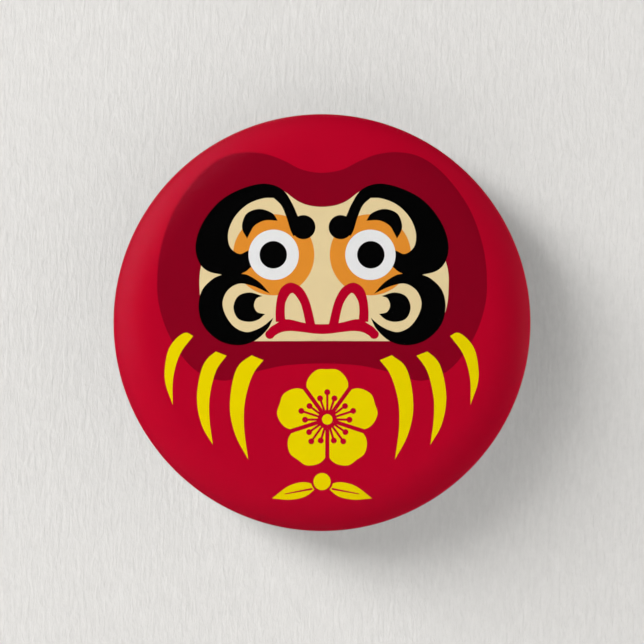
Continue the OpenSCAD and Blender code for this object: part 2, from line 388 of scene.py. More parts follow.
def picture():
    """Every printed shape as an (ink, outline) pair, the first painted first."""
    shapes = [("hood", smooth_loop(np.vstack([HOOD, mirrored(HOOD)[1:-1]]))),
              ("skin", outline(FACE_RIGHT + FACE))]
    left = [("amber", disc(*EYE, 19.4, 72)), ("black", outline(*BROW)), ("black", outline(*WHISKER)),
            ("black", outline(*SMALL_BROW)), ("black", disc(-8.9, 45.3, 5.75)),
            ("black", outline(*CRESCENT)), ("white", disc(*EYE, 12.03, 72)),
            ("black", disc(EYE[0] - 0.2, EYE[1], 6.55)), ("lip", outline(*NOSTRIL)),
            ("skin", outline(*NOSTRIL_HOLE)), ("lip", disc(-24.9, -5.9, 2.2, 24))]
    for ink, points in left:
        shapes += [(ink, points), (ink, mirrored(points))]
    for runs in STRIPES:
        stripe = outline(*runs)
        shapes += [("gold", stripe + LEFT_STRIPES_MOVE), ("gold", mirrored(stripe) + RIGHT_STRIPES_MOVE)]
    shapes.append(("lip", outline(across(MOUTH_TOP), across(MOUTH_BOTTOM)[::-1])))
    return shapes + sprig() + blossom()


def inside(points, polygon):
    """Which of the points lie inside a closed outline."""
    low, high = polygon.min(0), polygon.max(0)
    hit = np.flatnonzero(((points > low) & (points < high)).all(1))
    x, y = points[hit].T
    within = np.zeros(len(hit), bool)
    for (x0, y0), (x1, y1) in zip(polygon, np.roll(polygon, -1, 0)):
        if y0 != y1:
            within ^= ((y0 > y) != (y1 > y)) & (x < (x1 - x0) * (y - y0) / (y1 - y0) + x0)
    return hit[within]


# ---------------------------------------------------------------- profiles

def bend(centre, w, h, start, end, depth, steps):
    """Radius, height and outward direction along an elliptical bend, set in by a depth."""
    rows = []
    for t in np.radians(np.linspace(start, end, steps + 1)):
        out = np.array([math.sin(t) / w, math.cos(t) / h])
        out /= np.linalg.norm(out)
        point = np.array(centre) + (w * math.sin(t), h * math.cos(t)) - depth * out
        rows.append((*point, *out))
    return rows


def wrap_face(depth, fine=1):
    """One face of a wrapped layer from the middle of the dome round the rim to the end of the lip."""
    s = settings().shape
    radius = CAD_BOX[1][0] / MM
    w, h, roll, lip_roll = (v / MM for v in (s.shoulder_w, s.shoulder_h, s.roll_r, s.lip_roll_r))
    lip_r = radius - s.lip_in / MM
    start = math.atan(w / h * math.tan(s.edge_slope))
    dome_r = (radius - w + w * math.sin(start)) / math.sin(s.edge_slope)
    dome_base = roll + h * math.cos(start) - dome_r * math.cos(s.edge_slope)
    rows = bend((0, dome_base), dome_r, dome_r, 0, math.degrees(s.edge_slope), depth, 10 * fine)
    rows += bend((radius - w, roll), w, h, math.degrees(start), 90, depth, 26 * fine)[1:]
    rows += bend((radius - roll, roll), roll, roll, 90, 180, depth, 10 * fine)[1:]
    rows += bend((lip_r + lip_roll, lip_roll), lip_roll, lip_roll, 180, 270, depth, 8 * fine)
    rows.append((lip_r + depth, s.lip_h / MM, -1, 0))
    return np.array(rows)


def eased(points, size, steps=4):
    """A chain of points with its inner corners rounded; a size may be given for each corner."""
    p = [np.array(v, float) for v in points]
    sizes = size if isinstance(size, (list, tuple)) else [size] * (len(p) - 2)
    out = [p[0]]
    for a, b, c, reach in zip(p, p[1:], p[2:], sizes):
        ab, bc = b - a, c - b
        t = min(reach, 0.49 * np.linalg.norm(ab), 0.49 * np.linalg.norm(bc))
        start, end = b - t * ab / np.linalg.norm(ab), b + t * bc / np.linalg.norm(bc)
        for k in np.linspace(0, 1, steps + 1):
            out.append((1 - k) ** 2 * start + 2 * k * (1 - k) * b + k ** 2 * end)
    return out + [p[-1]]


# ---------------------------------------------------------------- node trees

def add(tree, kind, inputs=None, **options):
    """A new node with its options set and its inputs given as values or as sockets to link."""
    node = tree.nodes.new(kind)
    for key, value in options.items():
        setattr(node, key, value)
    for key, value in (inputs or {}).items():
        if isinstance(value, bpy.types.NodeSocket):
            tree.links.new(value, node.inputs[key])
        else:
            node.inputs[key].default_value = value
    return node


def calc(tree, operation, a, b=0.0, c=0.0):
    return add(tree, "ShaderNodeMath", {0: a, 1: b, 2: c}, operation=operation).outputs[0]


def ramp(tree, value, low, high, to_low=0.0, to_high=1.0, kind="SMOOTHSTEP"):
    node = add(tree, "ShaderNodeMapRange", {"Value": value, "From Min": low, "From Max": high,
                                            "To Min": to_low, "To Max": to_high}, interpolation_type=kind)
    return node.outputs[0]


def blend_colour(tree, factor, a, b, kind="MIX"):
    node = add(tree, "ShaderNodeMix", {0: factor, 6: a, 7: b}, data_type="RGBA", blend_type=kind)
    return node.outputs[2]


def noise_of(tree, vector, scale, detail, roughness=0.5, distortion=0.0):
    return add(tree, "ShaderNodeTexNoise", {"Vector": vector, "Scale": scale, "Detail": detail,
                                            "Roughness": roughness, "Distortion": distortion}).outputs[0]


def even_grey(tree, level):
    return add(tree, "ShaderNodeCombineColor", {0: level, 1: level, 2: level}).outputs[0]


def group_tree(name, kind, inputs, outputs):
    """A node group with its sockets; returns the tree, its input sockets by name and its output node."""
    tree = bpy.data.node_groups.new(name, kind)
    for label, socket_kind, default in inputs:
        socket = tree.interface.new_socket(label, in_out="INPUT", socket_type=socket_kind)
        if default is not None:
            socket.default_value = default
    for label, socket_kind in outputs:
        tree.interface.new_socket(label, in_out="OUTPUT", socket_type=socket_kind)
    source = tree.nodes.new("NodeGroupInput")
    return tree, source.outputs, tree.nodes.new("NodeGroupOutput")


def turning_tree():
    """Turns a profile, a chain of points in radius and height, into a closed surface round Z."""
    tree, given, result = group_tree(
        "Turned Profile", "GeometryNodeTree",
        [("Profile", "NodeSocketGeometry", None), ("Segments", "NodeSocketInt", 96),
         ("Pleats", "NodeSocketFloat", 0.0), ("Pleat Height", "NodeSocketFloat", 0.0),
         ("Seed", "NodeSocketFloat", 0.0), ("Finish", "NodeSocketMaterial", None)],
        [("Turned", "NodeSocketGeometry")])
    size = add(tree, "GeometryNodeAttributeDomainSize", {"Geometry": given["Profile"]})
    count = size.outputs["Point Count"]
    grid = add(tree, "GeometryNodeMeshGrid", {"Size X": 1.0, "Size Y": 1.0, "Vertices Y": count,
                                              "Vertices X": calc(tree, "ADD", given["Segments"], 1)})
    place = add(tree, "GeometryNodeInputPosition").outputs[0]
    spot = add(tree, "ShaderNodeSeparateXYZ", {0: place}).outputs
    angle = calc(tree, "MULTIPLY", calc(tree, "ADD", spot[0], 0.5), 2 * math.pi)
    row = calc(tree, "MULTIPLY", calc(tree, "ADD", spot[1], 0.5), calc(tree, "SUBTRACT", count, 1))
    row = calc(tree, "ROUND", row)

    def sampled(value, data_type):
        chosen = {"Geometry": given["Profile"], "Value": value, "Index": row}
        return add(tree, "GeometryNodeSampleIndex", chosen, data_type=data_type, domain="POINT").outputs[0]

    def named(name, data_type):
        return add(tree, "GeometryNodeInputNamedAttribute", {"Name": name}, data_type=data_type).outputs[0]

    ring = calc(tree, "DIVIDE", given["Pleats"], 2 * math.pi)
    around = add(tree, "ShaderNodeCombineXYZ", {0: calc(tree, "MULTIPLY", calc(tree, "COSINE", angle), ring),
                                                1: calc(tree, "MULTIPLY", calc(tree, "SINE", angle), ring),
                                                2: given["Seed"]}).outputs[0]
    noise = noise_of(tree, around, 1.0, 1.0)
    rise = calc(tree, "MULTIPLY", ramp(tree, noise, 0.46, 0.68), given["Pleat Height"])
    rise = calc(tree, "MULTIPLY", rise, sampled(named("pleat", "FLOAT"), "FLOAT"))
    lift = add(tree, "ShaderNodeVectorMath", {0: sampled(named("outward", "FLOAT_VECTOR"), "FLOAT_VECTOR"),
                                              "Scale": rise}, operation="SCALE").outputs[0]
    point = add(tree, "ShaderNodeVectorMath", {0: sampled(place, "FLOAT_VECTOR"), 1: lift},
                operation="ADD").outputs[0]
    point = add(tree, "ShaderNodeVectorRotate", {"Vector": point, "Angle": angle}, rotation_type="Z_AXIS")
    skin = add(tree, "GeometryNodeSetPosition", {"Geometry": grid.outputs[0], "Position": point.outputs[0]})
    skin = add(tree, "GeometryNodeMergeByDistance", {"Geometry": skin.outputs[0], "Distance": MERGE})
    skin = add(tree, "GeometryNodeSetShadeSmooth", {"Geometry": skin.outputs[0]})
    skin = add(tree, "GeometryNodeRealizeInstances", {"Geometry": skin.outputs[0]})
    skin = add(tree, "GeometryNodeSetMaterial", {"Geometry": skin.outputs[0], "Material": given["Finish"]})
    tree.links.new(skin.outputs[0], result.inputs["Turned"])
    return tree


def plain_mesh(obj):
    """The evaluated mesh of a working object, which is then removed."""
    seen = obj.evaluated_get(bpy.context.evaluated_depsgraph_get())
    mesh = bpy.data.meshes.new_from_object(seen)
    bpy.data.objects.remove(obj)
    return mesh


def new_object(name, data):
    obj = bpy.data.objects.new(name, data)
    bpy.context.scene.collection.objects.link(obj)
    return obj


def turned(profile, finish, segments=96, outward=None, pleat=None, pleats=0.0, pleat_h=0.0):
    """A closed turned mesh from a profile that ends on the axis or comes back to its start."""
    mesh = bpy.data.meshes.new("profile")
    mesh.from_pydata([(r, 0, h) for r, h in profile], [(i, i + 1) for i in range(len(profile) - 1)], [])
    if outward is not None:
        mesh.attributes.new("outward", "FLOAT_VECTOR", "POINT").data.foreach_set(
            "vector", np.column_stack([outward[:, 0], np.zeros(len(outward)), outward[:, 1]]).ravel())
        mesh.attributes.new("pleat", "FLOAT", "POINT").data.foreach_set("value", pleat)
    obj = new_object("profile", mesh)
    tree = bpy.data.node_groups.get("Turned Profile") or turning_tree()
    spin = obj.modifiers.new("Turned Profile", "NODES")
    spin.node_group = tree
    values = {"Segments": segments, "Pleats": pleats, "Pleat Height": pleat_h, "Seed": 3.0, "Finish": finish}
    for item in tree.interface.items_tree:
        if item.in_out == "INPUT" and item.name in values:
            spin[item.identifier] = values[item.name]
    return outwards(plain_mesh(obj))


def outwards(mesh):
    """Turns the faces of a closed mesh outwards, after its doubles are merged."""
    bm = bmesh.new()
    bm.from_mesh(mesh)
    bmesh.ops.remove_doubles(bm, verts=bm.verts, dist=MERGE)
    bmesh.ops.dissolve_degenerate(bm, edges=bm.edges, dist=1e-5)
    bmesh.ops.recalc_face_normals(bm, faces=bm.faces)
    bm.to_mesh(mesh)
    bm.free()
    return mesh


def prism(points, low, high, matrix=None):
    """An upright prism over a flat closed outline, as a working object."""
    bm = bmesh.new()
    base = bm.faces.new([bm.verts.new((x, y, low)) for x, y in points])
    top = bmesh.ops.extrude_face_region(bm, geom=[base])["geom"]
    lifted = [v for v in top if isinstance(v, bmesh.types.BMVert)]
    bmesh.ops.translate(bm, verts=lifted, vec=(0, 0, high - low))
    bmesh.ops.recalc_face_normals(bm, faces=bm.faces)
    mesh = bpy.data.meshes.new("prism")
    bm.to_mesh(mesh)
    bm.free()
    if matrix:
        mesh.transform(matrix)
    return new_object("prism", mesh)


def joined(base, others, operation="UNION"):
    """Base with the other working objects added or cut away, as a new working object."""
    for other in others:
        cut = base.modifiers.new("Join", "BOOLEAN")
        cut.operation = operation
        cut.solver = "EXACT"
        cut.object = other
    bpy.context.view_layer.update()
    result = new_object("joined", plain_mesh(base))
    for other in others:
        bpy.data.objects.remove(other)
    return result


def softened(obj, width, segments=3, angle=34):
    """The working object's mesh with its edges rounded."""
    bevel = obj.modifiers.new("Edges", "BEVEL")
    bevel.width = width
    bevel.segments = segments
    bevel.limit_method = "ANGLE"
    bevel.angle_limit = math.radians(angle)
    mesh = outwards(plain_mesh(obj))
    mesh.polygons.foreach_set("use_smooth", [True] * len(mesh.polygons))
    mesh.set_sharp_from_angle(angle=math.radians(40))
    return mesh


def publish(mesh, name, body, nodes, finish, place):
    """Puts a finished mesh into the scene as a new object, in metres, on its body, and hides the CAD nodes it
    replaces.
    """
    mesh.transform(TO_METRES @ place)
    mesh.name = name
    if not mesh.materials or mesh.materials[0] != finish:
        mesh.materials.clear()
        mesh.materials.append(finish)
    mesh.update()
    piece = new_object(name, mesh)
    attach(piece, body)
    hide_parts(*nodes)
    return piece


# ---------------------------------------------------------------- finishes

def scratches_group():
    """Fine straight scratches in two directions: a mask from 0 to 1."""
    tree, given, result = group_tree(
        "Fine Scratches", "ShaderNodeTree",
        [("Vector", "NodeSocketVector", None), ("Scale", "NodeSocketFloat", 1000.0),
         ("Cover", "NodeSocketFloat", 0.3)],
        [("Mask", "NodeSocketFloat")])
    masks = []
    for turn, stretch in ((0.5, 26.0), (-0.9, 34.0), (1.9, 22.0)):
        laid = add(tree, "ShaderNodeMapping", {"Vector": given["Vector"], "Rotation": (turn * 0.2, turn, 0.3),
                                               "Scale": (1.0, stretch, stretch)}).outputs[0]
        noise = noise_of(tree, laid, given["Scale"], 2.0, 0.6)
        least = calc(tree, "SUBTRACT", 0.78, calc(tree, "MULTIPLY", given["Cover"], 0.2))
        masks.append(ramp(tree, noise, least, 0.8))
    top = calc(tree, "MAXIMUM", masks[0], calc(tree, "MAXIMUM", masks[1], masks[2]))
    tree.links.new(top, result.inputs["Mask"])
    return tree


def grain_group():
    """Fine lines of rolled or drawn metal along one axis, with slow cloudy changes."""
    tree, given, result = group_tree(
        "Rolled Grain", "ShaderNodeTree",
        [("Vector", "NodeSocketVector", None), ("Scale", "NodeSocketFloat", 3000.0),
         ("Stretch", "NodeSocketFloat", 30.0), ("Cloud", "NodeSocketFloat", 250.0)],
        [("Lines", "NodeSocketFloat"), ("Clouds", "NodeSocketFloat")])
    spot = add(tree, "ShaderNodeSeparateXYZ", {0: given["Vector"]}).outputs
    laid = add(tree, "ShaderNodeCombineXYZ", {0: calc(tree, "DIVIDE", spot[0], given["Stretch"]),
                                              1: spot[1], 2: spot[2]}).outputs[0]
    lines = noise_of(tree, laid, given["Scale"], 3.0, 0.65)
    clouds = noise_of(tree, given["Vector"], given["Cloud"], 4.0, 0.6)
    tree.links.new(lines, result.inputs["Lines"])
    tree.links.new(clouds, result.inputs["Clouds"])
    return tree


def group_node(tree, name, maker, inputs):
    group = bpy.data.node_groups.get(name) or maker()
    return add(tree, "ShaderNodeGroup", inputs, node_tree=group).outputs


def new_finish(name):
    """An empty material, its node tree, its surface socket and its Object coordinates."""
    finish = bpy.data.materials.new(name)
    finish.use_nodes = True
    tree = finish.node_tree
    tree.nodes.clear()
    surface = tree.nodes.new("ShaderNodeOutputMaterial").inputs["Surface"]
    return finish, tree, surface, add(tree, "ShaderNodeTexCoord").outputs["Object"]


def metal(name, tint, rough, grain_scale, stretch, relief, scratch=0.3, groove=None):
    """Bright metal with rolled or drawn grain, cloudy handling marks, fine scratches and, where groove radii
    are given, painted shade from the groove outwards.
    """
    finish, tree, surface, place = new_finish(name)
    grain = group_node(tree, "Rolled Grain", grain_group, {"Vector": place, "Scale": grain_scale,
                                                           "Stretch": stretch, "Cloud": 260.0})
    marks = group_node(tree, "Fine Scratches", scratches_group, {"Vector": place, "Scale": 90.0,
                                                                 "Cover": scratch})["Mask"]
    dull_and_shade = calc(tree, "MULTIPLY", ramp(tree, grain["Clouds"], 0.4, 0.75), 0.5)
    # Painted shade: from the groove's radius outwards the metal is darkened, with cloudy changes in strength,
    # as if shade fell in the groove.
    if groove:
        spot = add(tree, "ShaderNodeSeparateXYZ", {0: place}).outputs
        radius = calc(tree, "SQRT", calc(tree, "ADD", calc(tree, "MULTIPLY", spot[0], spot[0]),
                                         calc(tree, "MULTIPLY", spot[2], spot[2])))
        groove_shade = calc(tree, "MULTIPLY", ramp(tree, radius, groove[0], groove[1]), 0.45)
        cloudy = calc(tree, "ADD", grain["Clouds"], 0.5)
        dull_and_shade = calc(tree, "MAXIMUM", dull_and_shade, calc(tree, "MULTIPLY", groove_shade, cloudy))
    worn_and_shaded = (*[v * 0.66 for v in tint], 1)
    bright = (*[min(1, v * 1.25) for v in tint], 1)
    shade = blend_colour(tree, dull_and_shade, (*tint, 1), worn_and_shaded)
    shade = blend_colour(tree, calc(tree, "MULTIPLY", marks, 0.35), shade, bright)
    lines = calc(tree, "MULTIPLY", calc(tree, "SUBTRACT", grain["Lines"], 0.5), 0.22)
    gloss = calc(tree, "ADD", rough, lines)
    gloss = calc(tree, "ADD", gloss, calc(tree, "MULTIPLY", dull_and_shade, 0.22))
    gloss = calc(tree, "SUBTRACT", gloss, calc(tree, "MULTIPLY", marks, 0.08))
    height = calc(tree, "SUBTRACT", grain["Lines"], calc(tree, "MULTIPLY", marks, 0.6))
    bump = add(tree, "ShaderNodeBump", {"Strength": relief, "Distance": 0.00002, "Height": height})
    body = add(tree, "ShaderNodeBsdfPrincipled", {"Base Color": shade, "Metallic": 1.0, "Roughness": gloss,
                                                  "Normal": bump.outputs[0]})
    tree.links.new(body.outputs[0], surface)
    return finish


def tinplate():
    s = settings()
    plate_r = (CAD_BOX[1][0] - s.shape.lip_in - s.shape.plate_gap)
    # The last two numbers are the radii where the painted shade of the groove begins and where it is full.
    return bpy.data.materials.get("bright tinplate") or metal(
        "bright tinplate", s.pin.tin, 0.3, 2600.0, 36.0, 0.16, 0.35,
        (plate_r - s.shape.groove_w - 0.0009, plate_r - s.shape.groove_w + 0.0006))


def plating():
    return bpy.data.materials.get("nickel plating") or metal(
        "nickel plating", settings().pin.plating, 0.22, 1500.0, 5.0, 0.1, 0.45)


def drawn_wire():
    return bpy.data.materials.get("drawn wire") or metal(
        "drawn wire", settings().pin.wire, 0.17, 5200.0, 60.0, 0.12, 0.2)


def printed_ink():
    """Ink on coated paper: the colour of each area, faint mottle and paper tooth."""
    finish, tree, surface, place = new_finish("printed ink")
    ink = add(tree, "ShaderNodeAttribute", attribute_name="ink").outputs["Color"]
    mottle = noise_of(tree, place, 900.0, 4.0)
    tooth = noise_of(tree, place, 9000.0, 2.0)
    level = calc(tree, "ADD", ramp(tree, mottle, 0.3, 0.7, 0.985, 1.015, "LINEAR"),
                 calc(tree, "MULTIPLY", calc(tree, "SUBTRACT", tooth, 0.5), 0.03))
    grey = even_grey(tree, level)
    shade = blend_colour(tree, 1.0, ink, grey, "MULTIPLY")
    bump = add(tree, "ShaderNodeBump", {"Strength": 0.05, "Distance": 0.00001, "Height": tooth})
    rough = ramp(tree, mottle, 0.3, 0.7, 0.5, 0.62)
    body = add(tree, "ShaderNodeBsdfPrincipled", {"Base Color": shade, "Roughness": rough,
                                                  "Specular IOR Level": 0.0, "Normal": bump.outputs[0]})
    tree.links.new(body.outputs[0], surface)
    return finish


def clear_gloss():
    """Clear film: only a gloss weaker than real film's is seen, with fine wear, and only from outside."""
    finish, tree, surface, place = new_finish("clear gloss film")
    marks = group_node(tree, "Fine Scratches", scratches_group, {"Vector": place, "Scale": 60.0,
                                                                 "Cover": 0.1})["Mask"]
    haze = noise_of(tree, place, 300.0, 3.0)
    rough = calc(tree, "ADD", ramp(tree, haze, 0.3, 0.7, 0.24, 0.3), calc(tree, "MULTIPLY", marks, 0.15))
    gloss = add(tree, "ShaderNodeBsdfGlossy", {"Color": (*[FILM_GLOSS] * 3, 1), "Roughness": rough},
                distribution="BECKMANN")
    clear = add(tree, "ShaderNodeBsdfTransparent", {"Color": (1, 1, 1, 1)})
    fresnel = calc(tree, "MINIMUM", add(tree, "ShaderNodeFresnel", {"IOR": 1.36}).outputs[0], FILM_LIMIT)
    seen = calc(tree, "SUBTRACT", 1.0, add(tree, "ShaderNodeNewGeometry").outputs["Backfacing"])
    lit = calc(tree, "SUBTRACT", 1.0, add(tree, "ShaderNodeLightPath").outputs["Is Shadow Ray"])
    factor = calc(tree, "MULTIPLY", calc(tree, "MULTIPLY", fresnel, seen), lit)
    mix = add(tree, "ShaderNodeMixShader", {0: factor, 1: clear.outputs[0], 2: gloss.outputs[0]})
    tree.links.new(mix.outputs[0], surface)
    return finish


# ---------------------------------------------------------------- pieces

class BADGE_OT_printed_disc(bpy.types.Operator):
    """Cut the printed picture into one sheet of paper and wrap it over the dome and round the rim"""
    bl_idname = "badge.printed_disc"
    bl_label = "Printed Disc"

    def execute(self, context):
        s, ink = settings().shape, settings().ink
        depth = (s.film_t + s.layer_gap) / MM
        count = s.segments
        outer = wrap_face(depth, 2)
        inner = wrap_face(depth + s.paper_t / MM)
        # The flat part of the sheet ends on the shoulder, at a ring that the wrapped part shares.
        join = int(np.argmax(outer[:, 3] < math.cos(math.radians(62))))
        join_r = outer[join, 0]
        radius = CAD_BOX[1][0] / MM
        unit = radius / 100 * ink.scale
        shapes = [(name, (points + (ink.shift, ink.rise)) * unit) for name, points in picture()]

        rings = [disc(0, 0, join_r, count)]
        r, odd = join_r, 0
        while r > 0.3:
            r -= FINE if r > radius * FINE_FROM else COARSE
            odd += 1
            steps = count if r > radius * FINE_FROM else max(8, int(2 * math.pi * r / COARSE))
            rings.append(turned_about(disc(0, 0, max(r, 0.1), steps), (0, 0), odd * math.pi / steps))
        loose = [Vector(p) for ring in rings for p in ring]
        edges = [(i, (i + 1) % count) for i in range(count)]
        for name, points in shapes:
            first = len(loose)
            loose += [Vector(p) for p in points]
            edges += [(first + i, first + (i + 1) % len(points)) for i in range(len(points))]
        flat, _, faces, _, _, _ = delaunay_2d_cdt(loose, edges, [], 0, 1e-5)
        flat = np.array([tuple(v) for v in flat])
        faces = np.array([f for f in faces if len(f) == 3])
        middles = flat[faces].mean(1)
        paint = np.zeros(len(faces), int)
        names = ["ground", "bare"] + sorted({name for name, _ in shapes} - {"ground"})
        for name, points in shapes:
            paint[inside(middles, points)] = names.index(name)

        flat_r = np.linalg.norm(flat, axis=1)
        height = np.interp(flat_r, outer[:join + 1, 0], outer[:join + 1, 1])
        verts = [(x, y, z) for (x, y), z in zip(flat, height)]
        polys = [tuple(int(i) for i in f) for f in faces]
        paints = list(paint)
        turn = np.linspace(0, 2 * math.pi, count, endpoint=False)

        def wrap(rows, tint):
            first = len(verts)
            for pr, pz in rows:
                verts.extend((pr * math.cos(a), pr * math.sin(a), pz) for a in turn)
            for i in range(len(rows) - 1):
                for j in range(count):
                    k = (j + 1) % count
                    a, b = first + i * count, first + (i + 1) * count
                    polys.append((a + j, b + j, b + k, a + k))
                    paints.append(tint)

        wrap(outer[join:, :2], 0)
        wrap(np.vstack([outer[-1:, :2], inner[::-1, :2]]), 1)
        mesh = bpy.data.meshes.new("printed_disc")
        mesh.from_pydata(verts, [], polys)
        tones = np.array([(*getattr(ink, name), 1.0) for name in names])
        sizes = [len(p) for p in polys]
        layer = mesh.color_attributes.new("ink", "FLOAT_COLOR", "CORNER")
        layer.data.foreach_set("color", np.repeat(tones[paints], sizes, axis=0).ravel())
        outwards(mesh)
        mesh.polygons.foreach_set("use_smooth", [True] * len(mesh.polygons))
        mesh.set_sharp_from_angle(angle=math.radians(50))
        sheet = publish(mesh, "printed_disc", "badge", ["printed_paper"], printed_ink(),
                        FACE_FORWARD)
        # Bounced light passes the print and meets the shell under it. Real light would not, but the
        # shadow stays grey this way.
        sheet.visible_diffuse = False
        return {"FINISHED"}


class BADGE_OT_film_skin(bpy.types.Operator):
    """Wrap the clear film over the printed disc, pleated where it is tucked in at the rear"""
    bl_idname = "badge.film_skin"
    bl_label = "Film Skin"

    def execute(self, context):
        s = settings().shape
        rows = np.vstack([wrap_face(0), wrap_face(s.film_t / MM)[::-1]])
        # Pleats start on the flat of the rear rim and grow into the lip.
        start_r = CAD_BOX[1][0] / MM - s.roll_r / MM + 0.2
        tucked = (rows[:, 0] < start_r) & (rows[:, 3] <= 0.01)
        grow = np.clip((start_r - rows[:, 0]) / 0.8, 0, 1)
        pleat = np.where(tucked, grow, 0.0)
        mesh = turned(rows[:, :2], clear_gloss(), s.segments + 64, rows[:, 2:], pleat, s.pleats,
                      s.pleat_h / MM)
        publish(mesh, "film_skin", "badge", ["clear_film"], mesh.materials[0], FACE_FORWARD)
        return {"FINISHED"}


class BADGE_OT_front_shell(bpy.types.Operator):
    """Give the pressed front shell, which the paper and film cover, its bright tinplate"""
    bl_idname = "badge.front_shell"
    bl_label = "Front Shell"

    def execute(self, context):
        shell = frame["nodes"]["front_shell"]
        if not shell.material_slots:
            shell.data.materials.append(tinplate())
        for holder in shell.material_slots:
            holder.material = tinplate()
        return {"FINISHED"}


class BADGE_OT_pressed_back(bpy.types.Operator):
    """Press the back plate: raised middle, groove, upturned edge and a flange under the lip"""
    bl_idname = "badge.pressed_back"
    bl_label = "Pressed Back"

    def execute(self, context):
        s = settings().shape
        t, groove = s.plate_t / MM, s.groove_depth / MM
        edge_r = (CAD_BOX[1][0] - s.lip_in - s.plate_gap) / MM
        pad_r = edge_r - t - s.groove_w / MM
        pad, top = -BAR_LOW.y, (s.lip_h + s.plate_gap) / MM
        out_r = edge_r + s.flange_w / MM
        rear = [(0, pad), (pad_r - 0.4, pad), (pad_r, groove), (edge_r, groove), (edge_r, top), (out_r, top)]
        front = [(out_r, top + t), (edge_r - t, top + t), (edge_r - t, groove + t), (pad_r - 0.1, groove + t),
                 (pad_r - 0.5, pad + t), (0, pad + t)]
        profile = eased(rear + front, [0.28, 0.16, 0.35, 0.1, 0.1, 0.1, 0.3, 0.12, 0.16, 0.28])
        mesh = turned(profile, tinplate(), s.segments)
        mesh.set_sharp_from_angle(angle=math.radians(45))
        publish(mesh, "pressed_back", "badge", ["back_plate"], tinplate(), FACE_FORWARD)
        return {"FINISHED"}


def arc(cx, cy, radius, start, end, steps):
    return [(cx + radius * math.cos(a), cy + radius * math.sin(a))
            for a in np.radians(np.linspace(start, end, steps + 1))]


ALONG_BAR = Matrix(((0, 0, 1, 0), (1, 0, 0, 0), (0, 1, 0, 0), (0, 0, 0, 1)))
ACROSS_BAR = Matrix(((1, 0, 0, 0), (0, 0, -1, 0), (0, 1, 0, 0), (0, 0, 0, 1)))


class BADGE_OT_pin_base(bpy.types.Operator):
    """Form the bar with its two hinge ears and the slotted catch"""
    bl_idname = "badge.pin_base"
    bl_label = "Pin Base"

    def execute(self, context):
        p = settings().pin
        t, gap = p.bar_t / MM, p.ear_gap / 2 / MM
        end, half = BAR_HIGH.x, (BAR_HIGH.z - BAR_LOW.z) / 2
        bar = prism(arc(end - half, 0, half, -90, 90, 28) + arc(half - end, 0, half, 90, 270, 28), 0, t)
        ear_r = p.ear_r / MM
        root = t * 0.4
        ear = [(HINGE.x - ear_r, root), (HINGE.x + ear_r, root)] + arc(HINGE.x, AXIS_Z, ear_r, 0, 180, 28)
        parts = [prism(ear, side[0], side[1], ACROSS_BAR) for side in ((gap, gap + t), (-gap - t, -gap))]
        bore, rim = p.catch_bore_r / MM, (p.catch_bore_r + p.catch_wall) / MM
        slot, foot = p.slot_w / 2 / MM, p.foot_w / 2 / MM
        lip, mouth = math.degrees(math.acos(slot / rim)), math.degrees(math.acos(slot / bore))
        heel = math.degrees(math.acos(foot / rim))
        ring = (arc(0, AXIS_Z, rim, 180 - lip, 180 + heel, 30) + [(-foot, root), (foot, root)]
                + arc(0, AXIS_Z, rim, -heel, lip, 30)
                + arc(0, AXIS_Z, bore, mouth, mouth - 360 + 2 * (90 - mouth), 44))
        flange = p.flange_t / MM + p.running_gap / MM
        parts.append(prism(ring, LOCK_LOW.x + flange, LOCK_HIGH.x - flange, ALONG_BAR))
        bar = joined(bar, parts)
        hole = prism(arc(HINGE.x, AXIS_Z, p.rivet_r / MM + 0.02, 0, 352.5, 47), -2, 2, ACROSS_BAR)
        welds = []
        for x in WELDS:
            dimple = turned([(0, t - WELD_DEPTH), (0.35, t - 0.12), (0.62, t - 0.03), (0.75, t + 0.2),
                             (0, t + 0.2)], None, 40)
            dimple.transform(Matrix.Translation((x, 0, 0)))
            welds.append(new_object("weld", dimple))
        bar = joined(bar, [hole] + welds, "DIFFERENCE")
        mesh = softened(bar, p.edge / MM)
        publish(mesh, "pin_base", "badge", ["pin_bar"], plating(), ON_PLATE)
        return {"FINISHED"}


class BADGE_OT_hinge_pin(bpy.types.Operator):
    """Set the rivet through the hinge, with a domed head at each end"""
    bl_idname = "badge.hinge_pin"
    bl_label = "Hinge Pin"

    def execute(self, context):
        p = settings().pin
        shank, head = p.rivet_r / MM, (RIVET_HIGH.x - RIVET_LOW.x) / 2
        reach, head_t = (RIVET_HIGH.z - RIVET_LOW.z) / 2, p.head_t / MM
        neck = reach - head_t
        side = [(shank, 0), (shank, neck), (head - 0.06, neck), (head, neck + 0.05)]
        dome = [(head * math.cos(a), neck + 0.09 + (head_t - 0.09) * math.sin(a))
                for a in np.radians(np.linspace(0, 90, 9))]
        upper = side + dome
        profile = [(r, -h) for r, h in upper[::-1]][:-1] + upper
        mesh = turned(profile, plating(), 48)
        mesh.set_sharp_from_angle(angle=math.radians(45))
        place = Matrix.Translation((HINGE.x, HINGE.y, HINGE.z))
        publish(mesh, "hinge_pin", "badge", ["hinge_rivet"], plating(), place)
        return {"FINISHED"}


